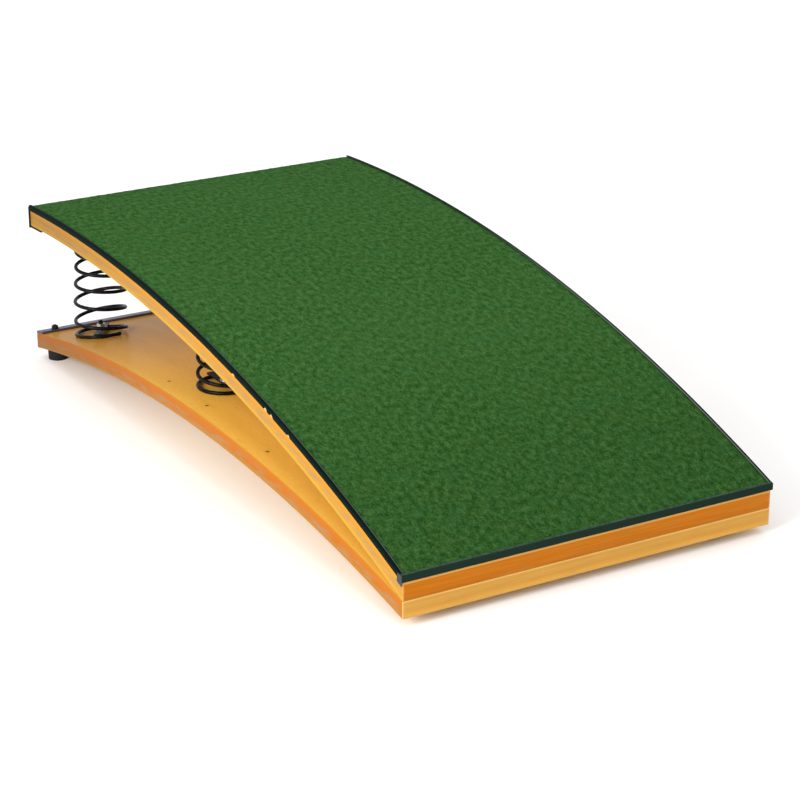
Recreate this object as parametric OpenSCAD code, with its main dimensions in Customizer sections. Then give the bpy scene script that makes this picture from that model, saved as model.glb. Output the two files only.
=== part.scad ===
// Sprung vaulting board: two bent laminated boards hinged behind a flush front edge and
// held apart by coil springs. +Y runs from the low front end to the high rear end, +X to
// the right of a runner on the board, +Z up. The origin is on the floor below the middle.

/* [Boards] */
// Overall length over the front strip and the rear guard
overall_length = 1200; // [950:1:1450]
// Overall width over the two side strips
overall_width = 600; // [480:1:760]
// Height of the carpet at the rear end
rear_height = 261; // [225:1:310]
// Height of the carpet at the front end
front_height = 74.5; // [68:0.5:90]
// Radius of the former both boards are bent on
bend_radius = 2950; // [2400:10:3600]
// Thickness of the upper board
deck_thickness = 29; // [22:0.5:34]
// Thickness of the lower board
base_thickness = 25; // [20:0.5:30]
// Height of the lower board's rear edge above the floor
base_rear_lift = 15; // [12:0.5:26]
// How far the lower board ends before the rear guard
base_setback = 3; // [0:1:30]
// Gap between the closed front lips
seam_gap = 0.4; // [0.3:0.1:1.5]

/* [Covering] */
// Thickness of the carpet
carpet_thickness = 5; // [3:0.5:8]
// Thickness of the upright leg of the edge strip
strip_thickness = 2; // [1.5:0.5:4]
// Height of the upright leg below the carpet surface
strip_drop = 8.5; // [7:0.5:16]
// Width of the flange that lies on the carpet
strip_flange = 3; // [2:0.5:12]
// Thickness of that flange
strip_lip = 1.4; // [1:0.1:2.5]
// Thickness of the rear guard
guard_thickness = 3; // [2:0.5:5]
// Depth of the guard's flange under the board
guard_flange = 40; // [25:1:60]

/* [Springs] */
// Outer diameter of a coil
spring_diameter = 88; // [70:1:96]
// Diameter of the wire
wire_diameter = 6; // [4.5:0.5:7]
// Distance of the outer rear springs from the board's sides
rear_spring_inset = 70; // [60:1:120]
// Distance of the front springs from the board's sides
front_spring_inset = 89; // [60:1:140]
// Distance of the rear row from the lower board's rear edge
rear_row_setback = 114; // [98:1:170]
// Distance between the two rows
row_spacing = 411; // [340:1:460]
// Turns of a rear spring
rear_turns = 7; // [6:0.5:7.5]
// Turns of a front spring
front_turns = 5.5; // [5:0.5:5.5]
// How much wider the lower turns of a rear spring are wound
rear_bias = 0.18; // [0:0.02:0.2]
// How far the springs lean forward, as a share of the space between the boards
spring_lean = 0.08; // [0:0.01:0.1]

/* [Clamps] */
// Width of a clamp strap
strap_width = 15; // [12:1:20]
// Thickness of a clamp strap
strap_thickness = 3; // [2.5:0.1:3.2]
// Diameter of the clamp bolts
bolt_diameter = 8; // [6:0.5:10]
// How far a bolt stands out of its board
bolt_stickout = 23; // [21:0.5:30]
// Turn of the rear straps away from the board's length
rear_strap_turn = 30; // [0:5:60]
// Turn of the front straps away from the board's length
front_strap_turn = 0; // [0:5:60]

/* [Feet and bar] */
// Width of the flat bar on the rear edge
bar_width = 24; // [18:1:36]
// Thickness of the flat bar
bar_thickness = 4; // [3:0.5:6]
// Diameter of the bar's bolts
bar_bolt_diameter = 6; // [5:0.5:8]
// Diameter of the rubber feet
foot_diameter = 34; // [28:1:44]
// Distance of the rear feet from the board's sides
rear_foot_inset = 28; // [24:1:60]
// Distance of the front feet from the board's sides
front_foot_inset = 45; // [30:1:65]
// Distance of the front feet from the front face
front_foot_setback = 42; // [30:1:80]

/* [Hinge] */
// Distance of the hinge pin behind the front face
hinge_setback = 25; // [20:1:40]
// Distance of the hinge's ends from the board's sides
hinge_end = 60; // [30:5:110]
// Diameter of a hinge knuckle
knuckle_diameter = 9; // [8:0.5:11]
// Diameter of the hinge pin
pin_diameter = 4.5; // [3.5:0.5:5]
// Thickness of a hinge leaf
leaf_thickness = 1.6; // [1.2:0.1:1.8]
// Width of a hinge leaf behind the pin
leaf_width = 34; // [26:1:44]
// Number of knuckles, both leaves together
knuckle_count = 13; // [5:2:21]
// Screws in each leaf
hinge_screw_count = 8; // [4:1:10]

/* [Hidden] */
// Gap around a part that is let into another one
fit_gap = 0.15;
// Gap between a part and the board it is clamped to
seat_gap = 0.1;
// Film of adhesive under the carpet and behind the guard
glue_line = 0.2;
// Radial play of the hinge pin in its knuckles
pin_play = 0.05;
// Length of the gap between two knuckles
knuckle_gap = 0.6;
// Gap between a spring and the board's tangent plane at either end
spring_seat = 0.3;
spring_head = 0.8;
// Where the flat end turn starts to rise, in turns
flat_turns = 0.83;
// Where the wire begins, in turns
wire_start = 0.1;
// Half length of the bend between flat and rising wire, in turns
rise_blend = 0.05;
spring_steps = 18;
spring_sides = 8;
washer_thickness = 1.6;
// Shares of a bolt's diameter
washer_width = 2.1;
nut_width = 1.6;
nut_height = 0.8;
head_width = 2.1;
head_height = 0.55;
screw_head = 7.6;
screw_head_height = 2.6;
screw_shank = 3.8;
screw_length = 15;
foot_screw_head = 11;
foot_screw_height = 3;
// Rubber between a foot's screw or bolt head and the board
foot_web = 7;
// Height at which a foot's bolt passes its middle
foot_bolt_level = 10;
// Bolt end above the flat bar
bar_bolt_end = 8;
// How far the guard's upper edge lies below the face of the carpet
guard_drop = 2;
round_fn = 48;
arc_fn = 256;

half_length = overall_length / 2;
half_width = overall_width / 2;
// The bare boards, without strips and guard
board_half_width = half_width - strip_thickness;
board_front = -half_length + strip_thickness;
deck_rear = half_length - guard_thickness;
base_rear = half_length - base_setback;
pin_y = -half_length + hinge_setback;
hinge_length = overall_width - 2 * hinge_end;
rear_spring_x = half_width - rear_spring_inset;
front_spring_x = half_width - front_spring_inset;
rear_row_y = base_rear - rear_row_setback;
front_row_y = rear_row_y - row_spacing;
deck_top_radius = bend_radius + deck_thickness;
carpet_radius = deck_top_radius + glue_line + carpet_thickness;

// Centre of the circle of radius r through two points, below them
function arc_centre(p, q, r) =
    let (m = (p + q) / 2, d = q - p, c = norm(d), h = sqrt(r * r - c * c / 4))
    m + [d[1], -d[0]] / c * h;
function arc_z(c, r, y) = c[1] + sqrt(r * r - (y - c[0]) * (y - c[0]));
function arc_slope(c, r, y) = asin((y - c[0]) / r);

deck_centre = arc_centre([-half_length, front_height], [half_length, rear_height], carpet_radius);
function deck_z(y) = arc_z(deck_centre, bend_radius, y);
function deck_slope(y) = arc_slope(deck_centre, bend_radius, y);

// The slope at the rear makes the cut face about a fiftieth taller than the board
base_centre = arc_centre([board_front, deck_z(board_front) - seam_gap],
                         [base_rear, base_rear_lift + 1.02 * base_thickness], bend_radius);
function base_z(y) = arc_z(base_centre, bend_radius, y);
function base_slope(y) = arc_slope(base_centre, bend_radius, y);

pin_z = (base_z(pin_y) + deck_z(pin_y)) / 2;

// Where the axis of a spring standing on the base at y meets the deck
function spring_top_y(y) = y - spring_lean * (deck_z(y) - base_z(y));

bar_bolt_y = base_rear - 18;
bar_bolt_x = [-half_width + rear_foot_inset, 0, half_width - rear_foot_inset];
front_foot_y = board_front + front_foot_setback;

// x, y, turns, bias and strap turn of every spring
left_rear = [-rear_spring_x, rear_row_y, rear_turns, rear_bias, rear_strap_turn];
middle_rear = [0, rear_row_y, rear_turns, rear_bias, rear_strap_turn];
right_rear = [rear_spring_x, rear_row_y, rear_turns, rear_bias, rear_strap_turn];
left_front = [-front_spring_x, front_row_y, front_turns, 0, front_strap_turn];
right_front = [front_spring_x, front_row_y, front_turns, 0, front_strap_turn];
springs = [left_rear, middle_rear, right_rear, left_front, right_front];

wood = [0.86, 0.62, 0.30];
steel = [0.62, 0.63, 0.65];
black_steel = [0.08, 0.08, 0.09];
rubber = [0.07, 0.07, 0.07];

// --- frames -------------------------------------------------------------------------

// Puts a part on top of the base board, its Z along the board's normal
module on_base(x, y) {
    translate([x, y, base_z(y)])
        rotate([-base_slope(y), 0, 0])
            children();
}

// Hangs a part under the deck board, its Z pointing down along the normal
module under_deck(x, y) {
    translate([x, y, deck_z(y)])
        rotate([180 - deck_slope(y), 0, 0])
            children();
}

// Both ends of a spring: turned to the strap's direction
module at_lower_end(s) {
    on_base(s[0], s[1])
        rotate([0, 0, -s[4]])
            children();
}

module at_upper_end(s) {
    under_deck(s[0], spring_top_y(s[1]))
        rotate([0, 0, s[4]])
            children();
}

// --- shared shapes ------------------------------------------------------------------

// A slab bent round the X axis, cut off square to the floor at both ends
module bent_slab(centre, r_in, r_out, x0, x1, y0, y1) {
    intersection() {
        translate([x0, centre[0], centre[1]])
            rotate([0, 90, 0])
                difference() {
                    cylinder(r = r_out, h = x1 - x0, $fn = arc_fn);
                    translate([0, 0, -1])
                        cylinder(r = r_in, h = x1 - x0 + 2, $fn = arc_fn);
                }
        translate([x0 - 1, y0, -20])
            cube([x1 - x0 + 2, y1 - y0, rear_height + 150]);
    }
}

module deck_slab(r_in, r_out, x0, x1, y0, y1) {
    bent_slab(deck_centre, r_in, r_out, x0, x1, y0, y1);
}

module hex_nut(bolt) {
    difference() {
        cylinder(d = nut_width * bolt / cos(30), h = nut_height * bolt, $fn = 6);
        bolt_hole(nut_height * bolt, bolt);
    }
}

module washer(bolt) {
    difference() {
        cylinder(d = washer_width * bolt, h = washer_thickness, $fn = round_fn);
        bolt_hole(washer_thickness, bolt);
    }
}

// Clearance hole for a bolt, t deep and on through both faces of what it crosses
module bolt_hole(t, bolt) {
    translate([0, 0, -t - 5])
        cylinder(d = bolt + 2 * fit_gap, h = 2 * t + 10, $fn = round_fn);
}

// Round-headed bolt, Z up out of the board, head below a board of thickness t
module mushroom_bolt(t) {
    translate([0, 0, -t - seat_gap])
        cylinder(d = bolt_diameter, h = t + seat_gap + bolt_stickout, $fn = round_fn);
    translate([0, 0, -t - seat_gap - head_height * bolt_diameter])
        cylinder(d1 = 0.7 * head_width * bolt_diameter, d2 = head_width * bolt_diameter,
                 h = head_height * bolt_diameter, $fn = round_fn);
}

// Flat-headed bolt, its head let into the far face of a board of thickness t
module flat_bolt(t, c) {
    translate([0, 0, -t])
        cylinder(d = bolt_diameter + 2 * c, h = t + bolt_stickout + c, $fn = round_fn);
    translate([0, 0, -t])
        cylinder(d1 = head_width * bolt_diameter + 2 * c, d2 = bolt_diameter + 2 * c,
                 h = head_height * bolt_diameter, $fn = round_fn);
}

// Countersunk wood screw, head face at z = 0 and shank downwards
module wood_screw(c) {
    translate([0, 0, -screw_head_height])
        cylinder(d1 = screw_shank + 2 * c, d2 = screw_head + 2 * c, h = screw_head_height,
                 $fn = round_fn);
    translate([0, 0, -screw_length - c])
        cylinder(d = screw_shank + 2 * c, h = screw_length, $fn = round_fn);
    // The hole for a screw also clears the face its head lies in
    if (c > 0)
        translate([0, 0, -c])
            cylinder(d = screw_head + 2 * c, h = 1, $fn = round_fn);
}

// --- springs ------------------------------------------------------------------------

function ramp(x, w) = x < -w ? 0 : x > w ? x : (x + w) * (x + w) / (4 * w);
function progress(t, n) =
    (ramp(t - flat_turns, rise_blend) - ramp(t - n + flat_turns, rise_blend)) / (n - 2 * flat_turns);
function biased(u, b) = u + b * u * (1 - u);

// Height along the spring's axis after t turns
function coil_height(t, n, b, h) =
    spring_seat + wire_diameter / 2
    + (h - spring_seat - spring_head - wire_diameter) * biased(progress(t, n), b);

// A cubic curve from p to s, its ends aimed at q and from r
function bezier(p, q, r, s, u) =
    let (v = 1 - u) v * v * v * p + 3 * v * v * u * q + 3 * v * u * u * r + u * u * u * s;

// The wire is wound left-handed round an axis that leaves both boards square
module coil_spring(s) {
    n = s[2];
    top_y = spring_top_y(s[1]);
    p = [s[1], base_z(s[1])];
    r = [top_y, deck_z(top_y)];
    h = norm(r - p);
    tilt_a = base_slope(s[1]);
    tilt_b = deck_slope(top_y);
    aim_a = p + h / 3 * [sin(tilt_a), cos(tilt_a)];
    aim_b = r - h / 3 * [sin(tilt_b), cos(tilt_b)];
    mean = (spring_diameter - wire_diameter) / 2;
    count = round((n - 2 * wire_start) * spring_steps);
    points = [
        for (i = [0:count])
            let (t = wire_start + i * (n - 2 * wire_start) / count,
                 a = -360 * t - s[4],
                 z = coil_height(t, n, s[3], h),
                 u = z / h,
                 f = tilt_a + (tilt_b - tilt_a) * u,
                 m = bezier(p, aim_a, aim_b, r, u))
            for (k = [0:spring_sides - 1])
                let (g = 360 * (k + 0.5) / spring_sides,
                     d = mean + wire_diameter / 2 * cos(g),
                     e = wire_diameter / 2 * sin(g))
                [s[0] + d * cos(a),
                 m[0] + d * sin(a) * cos(f) + e * sin(f),
                 m[1] - d * sin(a) * sin(f) + e * cos(f)]
    ];
    sides = [
        for (i = [0:count - 1])
            for (k = [0:spring_sides - 1])
                let (b = i * spring_sides, j = (k + 1) % spring_sides)
                [b + k, b + j, b + spring_sides + j, b + spring_sides + k]
    ];
    ends = [
        [for (k = [0:spring_sides - 1]) spring_sides - 1 - k],
        [for (k = [0:spring_sides - 1]) count * spring_sides + k]
    ];
    color(black_steel)
        polyhedron(points, concat(sides, ends), convexity = 10);
}

// --- clamps -------------------------------------------------------------------------

// Strap lying over an end turn, Z out of the board
module strap(seat) {
    length = spring_diameter + 8;
    color(black_steel)
        translate([0, 0, seat + wire_diameter + seat_gap])
            difference() {
                intersection() {
                    translate([-strap_width / 2, -length / 2, 0])
                        cube([strap_width, length, strap_thickness]);
                    translate([0, 0, -1])
                        cylinder(d = length, h = strap_thickness + 2, $fn = 96);
                }
                bolt_hole(strap_thickness, bolt_diameter);
            }
}

module lower_clamp(s) {
    at_lower_end(s)
        strap(spring_seat);
}

module upper_clamp(s) {
    at_upper_end(s)
        strap(spring_head);
}

lower_stack = spring_seat + wire_diameter + 2 * seat_gap + strap_thickness;
upper_stack = spring_head + wire_diameter + 2 * seat_gap + strap_thickness;

module lower_clamp_bolts() {
    color(black_steel)
        for (s = springs)
            at_lower_end(s)
                mushroom_bolt(base_thickness);
}

module lower_clamp_washers() {
    color(steel)
        for (s = springs)
            at_lower_end(s)
                translate([0, 0, lower_stack])
                    washer(bolt_diameter);
}

module lower_clamp_nuts() {
    color(steel)
        for (s = springs)
            at_lower_end(s)
                translate([0, 0, lower_stack + washer_thickness + seat_gap])
                    hex_nut(bolt_diameter);
}

module upper_clamp_bolts() {
    color(black_steel)
        for (s = springs)
            at_upper_end(s)
                flat_bolt(deck_thickness - 2 * seat_gap, 0);
}

module upper_clamp_washers() {
    color(steel)
        for (s = springs)
            at_upper_end(s)
                translate([0, 0, upper_stack])
                    washer(bolt_diameter);
}

module upper_clamp_nuts() {
    color(steel)
        for (s = springs)
            at_upper_end(s)
                translate([0, 0, upper_stack + washer_thickness + seat_gap])
                    hex_nut(bolt_diameter);
}

// --- hinge --------------------------------------------------------------------------

pitch = hinge_length / knuckle_count;

// Knuckles first, first + 2, ... as cylinders along X of diameter d, each longer by g
module knuckles(first, d, g) {
    for (i = [first:2:knuckle_count - 1])
        translate([-hinge_length / 2 + i * pitch + knuckle_gap / 2 - g / 2, pin_y, pin_z])
            rotate([0, 90, 0])
                cylinder(d = d, h = pitch - knuckle_gap + g, $fn = round_fn);
}

module pin_bore(d, extra) {
    translate([-hinge_length / 2 - extra, pin_y, pin_z])
        rotate([0, 90, 0])
            cylinder(d = d, h = hinge_length + 2 * extra, $fn = round_fn);
}

function hinge_screw_x(i) = hinge_length * ((i + 0.5) / hinge_screw_count - 0.5);
function hinge_screw_y(i) = pin_y + leaf_width * (i % 2 == 0 ? 0.5 : 0.72);

module lower_screws(c) {
    for (i = [0:hinge_screw_count - 1])
        on_base(hinge_screw_x(i), hinge_screw_y(i))
            translate([0, 0, leaf_thickness + seat_gap])
                wood_screw(c);
}

module upper_screws(c) {
    for (i = [0:hinge_screw_count - 1])
        under_deck(hinge_screw_x(i), hinge_screw_y(i))
            translate([0, 0, leaf_thickness + seat_gap])
                wood_screw(c);
}

module leaf_plate() {
    translate([-hinge_length / 2, -leaf_width / 2, seat_gap])
        cube([hinge_length, leaf_width, leaf_thickness]);
}

module hinge_leaf_lower() {
    color(steel)
        difference() {
            union() {
                on_base(0, pin_y + leaf_width / 2)
                    leaf_plate();
                knuckles(0, knuckle_diameter, 0);
            }
            knuckles(1, knuckle_diameter + 2 * knuckle_gap, 2 * knuckle_gap);
            pin_bore(pin_diameter + 2 * pin_play, 1);
            lower_screws(fit_gap);
        }
}

module hinge_leaf_upper() {
    color(steel)
        difference() {
            union() {
                under_deck(0, pin_y + leaf_width / 2)
                    leaf_plate();
                knuckles(1, knuckle_diameter, 0);
            }
            knuckles(0, knuckle_diameter + 2 * knuckle_gap, 2 * knuckle_gap);
            pin_bore(pin_diameter + 2 * pin_play, 1);
            upper_screws(fit_gap);
        }
}

module hinge_pin() {
    color(steel)
        pin_bore(pin_diameter, 0.5);
}

module hinge_screws_lower() {
    color(steel)
        lower_screws(0);
}

module hinge_screws_upper() {
    color(steel)
        upper_screws(0);
}

// --- base board, bar and feet -------------------------------------------------------

module front_foot_screw(c) {
    translate([0, 0, -foot_web - c])
        cylinder(d = screw_shank + 2 * c, h = foot_web + 12 + 2 * c, $fn = round_fn);
    translate([0, 0, -foot_web - foot_screw_height - c])
        cylinder(d = foot_screw_head + 2 * c, h = foot_screw_height + 2 * c, $fn = round_fn);
}

// x and y of the front feet, the frame is the underside of the base board
module at_front_foot(side) {
    on_base(side * (half_width - front_foot_inset), front_foot_y)
        translate([0, 0, -base_thickness])
            children();
}

module base_board() {
    color(wood)
        difference() {
            bent_slab(base_centre, bend_radius - base_thickness, bend_radius,
                      -board_half_width, board_half_width, board_front, base_rear);
            pin_bore(knuckle_diameter + 4 * knuckle_gap, 2);
            for (s = springs)
                on_base(s[0], s[1])
                    bolt_hole(base_thickness, bolt_diameter);
            for (x = bar_bolt_x)
                on_base(x, bar_bolt_y)
                    bolt_hole(base_thickness, bar_bolt_diameter);
            for (side = [-1, 1])
                at_front_foot(side)
                    front_foot_screw(fit_gap);
            lower_screws(fit_gap);
        }
}

module rear_bar() {
    color([0.25, 0.25, 0.28])
        difference() {
            bent_slab(base_centre, bend_radius, bend_radius + bar_thickness,
                      -board_half_width, board_half_width, base_rear - bar_width, base_rear);
            for (x = bar_bolt_x)
                on_base(x, bar_bolt_y)
                    bolt_hole(bar_thickness, bar_bolt_diameter);
        }
}

// One bolt of the bar; the outer two reach down through the web of a foot
module bar_bolt(i, c) {
    drop = base_thickness + (i == 1 ? seat_gap : foot_web);
    on_base(bar_bolt_x[i], bar_bolt_y)
        translate([0, 0, -drop - c]) {
            cylinder(d = bar_bolt_diameter + 2 * c, h = drop + bar_thickness + bar_bolt_end + 2 * c,
                     $fn = round_fn);
            translate([0, 0, -head_height * bar_bolt_diameter])
                cylinder(d = head_width * bar_bolt_diameter + 2 * c,
                         h = head_height * bar_bolt_diameter + 2 * c, $fn = round_fn);
        }
}

module rear_bar_bolts() {
    color(black_steel)
        for (i = [0:2])
            bar_bolt(i, 0);
}

module rear_bar_washers() {
    color(black_steel)
        for (x = bar_bolt_x)
            on_base(x, bar_bolt_y)
                translate([0, 0, bar_thickness + seat_gap])
                    washer(bar_bolt_diameter);
}

module rear_bar_nuts() {
    color(black_steel)
        for (x = bar_bolt_x)
            on_base(x, bar_bolt_y)
                translate([0, 0, bar_thickness + washer_thickness + 2 * seat_gap])
                    hex_nut(bar_bolt_diameter);
}

// Round foot under the base board with its sole on the floor, centred on its bolt's lower end
module foot(x, y) {
    sole_y = y - (base_z(y) - foot_bolt_level) * tan(base_slope(y));
    difference() {
        translate([x, sole_y, 0])
            cylinder(d1 = 0.94 * foot_diameter, d2 = foot_diameter, h = base_z(y), $fn = 72);
        translate([-half_width, base_centre[0], base_centre[1]])
            rotate([0, 90, 0])
                difference() {
                    cylinder(r = bend_radius + 40, h = overall_width, $fn = arc_fn);
                    translate([0, 0, -1])
                        cylinder(r = bend_radius - base_thickness - seat_gap, h = overall_width + 2,
                                 $fn = arc_fn);
                }
        children();
    }
}

module rear_foot(i) {
    color(rubber)
        foot(bar_bolt_x[i], bar_bolt_y) {
            bar_bolt(i, fit_gap);
            on_base(bar_bolt_x[i], bar_bolt_y)
                translate([0, 0, -base_thickness - foot_web - 40])
                    cylinder(d = head_width * bar_bolt_diameter + 2 * fit_gap, h = 40,
                             $fn = round_fn);
        }
}

module rear_foot_left() {
    rear_foot(0);
}

module rear_foot_right() {
    rear_foot(2);
}

module front_foot(side) {
    color(rubber)
        foot(side * (half_width - front_foot_inset), front_foot_y)
            at_front_foot(side) {
                front_foot_screw(fit_gap);
                translate([0, 0, -foot_web - 40])
                    cylinder(d = foot_screw_head + 2 * fit_gap, h = 40, $fn = round_fn);
            }
}

module front_foot_left() {
    front_foot(-1);
}

module front_foot_right() {
    front_foot(1);
}

module front_foot_screws() {
    color(steel)
        for (side = [-1, 1])
            at_front_foot(side)
                front_foot_screw(0);
}

// --- deck board, covering and guard -------------------------------------------------

guard_screw_count = 5;
function guard_screw_x(i) = 0.88 * overall_width * (i / (guard_screw_count - 1) - 0.5);
guard_screw_y = deck_rear - 0.62 * guard_flange;

module guard_screws(c) {
    for (i = [0:guard_screw_count - 1])
        under_deck(guard_screw_x(i), guard_screw_y)
            translate([0, 0, guard_thickness])
                wood_screw(c);
}

module deck_board() {
    color(wood)
        difference() {
            deck_slab(bend_radius, deck_top_radius,
                      -board_half_width, board_half_width, board_front, deck_rear);
            pin_bore(knuckle_diameter + 4 * knuckle_gap, 2);
            for (s = springs)
                under_deck(s[0], spring_top_y(s[1])) {
                    translate([0, 0, -deck_thickness - 5])
                        cylinder(d = head_width * bolt_diameter + 2 * fit_gap,
                                 h = 5 + 3 * seat_gap, $fn = round_fn);
                    flat_bolt(deck_thickness - 2 * seat_gap, fit_gap);
                }
            upper_screws(fit_gap);
            guard_screws(fit_gap);
        }
}

module carpet() {
    color([0.22, 0.40, 0.18])
        deck_slab(deck_top_radius + glue_line, carpet_radius,
                  -board_half_width, board_half_width, board_front, deck_rear);
}

module edge_strip_side(side) {
    outer = side * half_width;
    inner = side * board_half_width;
    edge = side * (board_half_width - strip_flange);
    color([0.08, 0.16, 0.14])
        union() {
            deck_slab(carpet_radius - strip_drop, carpet_radius + strip_lip,
                      min(outer, inner), max(outer, inner), board_front, deck_rear);
            deck_slab(carpet_radius + glue_line, carpet_radius + strip_lip,
                      min(outer, edge), max(outer, edge), board_front + strip_flange, deck_rear);
        }
}

module edge_strip_left() {
    edge_strip_side(-1);
}

module edge_strip_right() {
    edge_strip_side(1);
}

module edge_strip_front() {
    color([0.08, 0.16, 0.14])
        union() {
            deck_slab(carpet_radius - strip_drop, carpet_radius + strip_lip,
                      -half_width, half_width, -half_length, board_front);
            deck_slab(carpet_radius + glue_line, carpet_radius + strip_lip,
                      -board_half_width, board_half_width, -half_length, board_front + strip_flange);
        }
}

module rear_guard() {
    color(rubber)
        difference() {
            union() {
                deck_slab(bend_radius - guard_thickness, carpet_radius - guard_drop,
                          -half_width, half_width, deck_rear, half_length);
                deck_slab(bend_radius - guard_thickness, bend_radius - glue_line,
                          -board_half_width, board_half_width, deck_rear - guard_flange, half_length);
            }
            guard_screws(fit_gap);
        }
}

module rear_guard_screws() {
    color(steel)
        guard_screws(0);
}

base_board();
rear_bar();
rear_bar_bolts();
rear_bar_washers();
rear_bar_nuts();
rear_foot_left();
rear_foot_right();
front_foot_left();
front_foot_right();
front_foot_screws();
hinge_leaf_lower();
hinge_leaf_upper();
hinge_pin();
hinge_screws_lower();
hinge_screws_upper();
coil_spring(left_rear);  // spring_rear_left
coil_spring(middle_rear);  // spring_rear_middle
coil_spring(right_rear);  // spring_rear_right
coil_spring(left_front);  // spring_front_left
coil_spring(right_front);  // spring_front_right
lower_clamp(left_rear);  // lower_clamp_rear_left
lower_clamp(middle_rear);  // lower_clamp_rear_middle
lower_clamp(right_rear);  // lower_clamp_rear_right
lower_clamp(left_front);  // lower_clamp_front_left
lower_clamp(right_front);  // lower_clamp_front_right
upper_clamp(left_rear);  // upper_clamp_rear_left
upper_clamp(middle_rear);  // upper_clamp_rear_middle
upper_clamp(right_rear);  // upper_clamp_rear_right
upper_clamp(left_front);  // upper_clamp_front_left
upper_clamp(right_front);  // upper_clamp_front_right
lower_clamp_bolts();
lower_clamp_washers();
lower_clamp_nuts();
upper_clamp_bolts();
upper_clamp_washers();
upper_clamp_nuts();
deck_board();
carpet();
edge_strip_left();
edge_strip_right();
edge_strip_front();
rear_guard();
rear_guard_screws();
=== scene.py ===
import math

import bmesh
import bpy
from mathutils import Matrix, Vector, noise


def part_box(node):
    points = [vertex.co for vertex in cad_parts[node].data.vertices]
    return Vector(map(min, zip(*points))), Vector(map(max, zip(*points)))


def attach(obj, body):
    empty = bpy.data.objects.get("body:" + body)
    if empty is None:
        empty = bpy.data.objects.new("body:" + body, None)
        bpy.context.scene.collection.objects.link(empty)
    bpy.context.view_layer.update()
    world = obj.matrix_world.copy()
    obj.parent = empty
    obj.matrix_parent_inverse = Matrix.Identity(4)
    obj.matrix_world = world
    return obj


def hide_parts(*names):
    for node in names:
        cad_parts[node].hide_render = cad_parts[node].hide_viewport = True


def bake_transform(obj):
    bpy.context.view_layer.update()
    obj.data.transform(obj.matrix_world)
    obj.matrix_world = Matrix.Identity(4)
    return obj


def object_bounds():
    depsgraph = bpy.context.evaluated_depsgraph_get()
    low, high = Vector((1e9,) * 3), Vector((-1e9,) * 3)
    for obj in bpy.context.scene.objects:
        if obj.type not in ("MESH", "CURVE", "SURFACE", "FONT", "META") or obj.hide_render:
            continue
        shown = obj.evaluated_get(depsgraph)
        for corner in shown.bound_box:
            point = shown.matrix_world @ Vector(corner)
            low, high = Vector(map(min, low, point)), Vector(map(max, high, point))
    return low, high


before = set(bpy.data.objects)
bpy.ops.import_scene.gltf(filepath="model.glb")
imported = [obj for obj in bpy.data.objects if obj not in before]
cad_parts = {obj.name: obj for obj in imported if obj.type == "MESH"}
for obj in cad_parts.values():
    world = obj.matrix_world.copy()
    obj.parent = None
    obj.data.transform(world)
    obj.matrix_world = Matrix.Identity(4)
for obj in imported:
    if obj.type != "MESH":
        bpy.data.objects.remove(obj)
cad_low, cad_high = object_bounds()


# --- Base board -------------------------------------------------------------------------
# The lower board is birch plywood pressed over a former into a shallow arch that stands on
# its two ends. Its faces are rotary-cut veneer under clear varnish; the sawn and rounded
# edges show the plies. A groove across its top lets the hinge knuckles in.
BEND_RADIUS = 2.950
BASE_THICKNESS = 0.025
BASE_PLIES = 9
EDGE_ROUNDING = 0.0012
# X and Y of three pin knots in the top veneer
PIN_KNOTS = [(-0.272, 0.140), (-0.272, 0.012), (-0.272, -0.180)]
HINGE_GROOVE_RADIUS = 0.0057
HINGE_GROOVE_OVERRUN = 0.002
# How far inside a face the finish of its edge begins, and where it is full
EDGE_BEGINS, EDGE_FULL = 0.0014, 0.0006
KNOT_CORE, KNOT_RIM = 0.0014, 0.0042
PORE_BROWN, PRESS_BROWN, BLOTCH_BROWN = (0.20, 0.08, 0.02), (0.30, 0.19, 0.09), (0.42, 0.16, 0.02)
GLUE_BROWN, KNOT_BROWN, SOIL_BROWN = (0.24, 0.09, 0.015), (0.06, 0.03, 0.012), (0.28, 0.14, 0.03)
BARED_WOOD = (0.44, 0.37, 0.28)


def arch_centre(low, high, inner, outer):
    """Y and Z of a bent board's centre: its crown and its low front edge touch its box"""
    centre_z = high.z - outer
    return low.y + math.sqrt(inner ** 2 - (low.z - centre_z) ** 2), centre_z


def arch_height(centre, radius, y):
    return centre[1] + math.sqrt(radius ** 2 - (y - centre[0]) ** 2)


def skin_between(mesh, rings):
    """Closes a row of equal rings into a solid with flat ends"""
    count = len(rings[0])
    for first, second in zip(rings, rings[1:]):
        for k in range(count):
            j = (k + 1) % count
            mesh.faces.new((first[k], second[k], second[j], first[j]))
    mesh.faces.new(rings[0])
    mesh.faces.new(list(reversed(rings[-1])))


def finished_mesh(name, mesh, sharp_degrees=40):
    """Makes an object of a bmesh, smooth but for its edges sharper than that angle"""
    bmesh.ops.recalc_face_normals(mesh, faces=mesh.faces)
    data = bpy.data.meshes.new(name)
    mesh.to_mesh(data)
    mesh.free()
    data.polygons.foreach_set("use_smooth", [True] * len(data.polygons))
    data.set_sharp_from_angle(angle=math.radians(sharp_degrees))
    piece = bpy.data.objects.new(name, data)
    bpy.context.scene.collection.objects.link(piece)
    return piece


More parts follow.
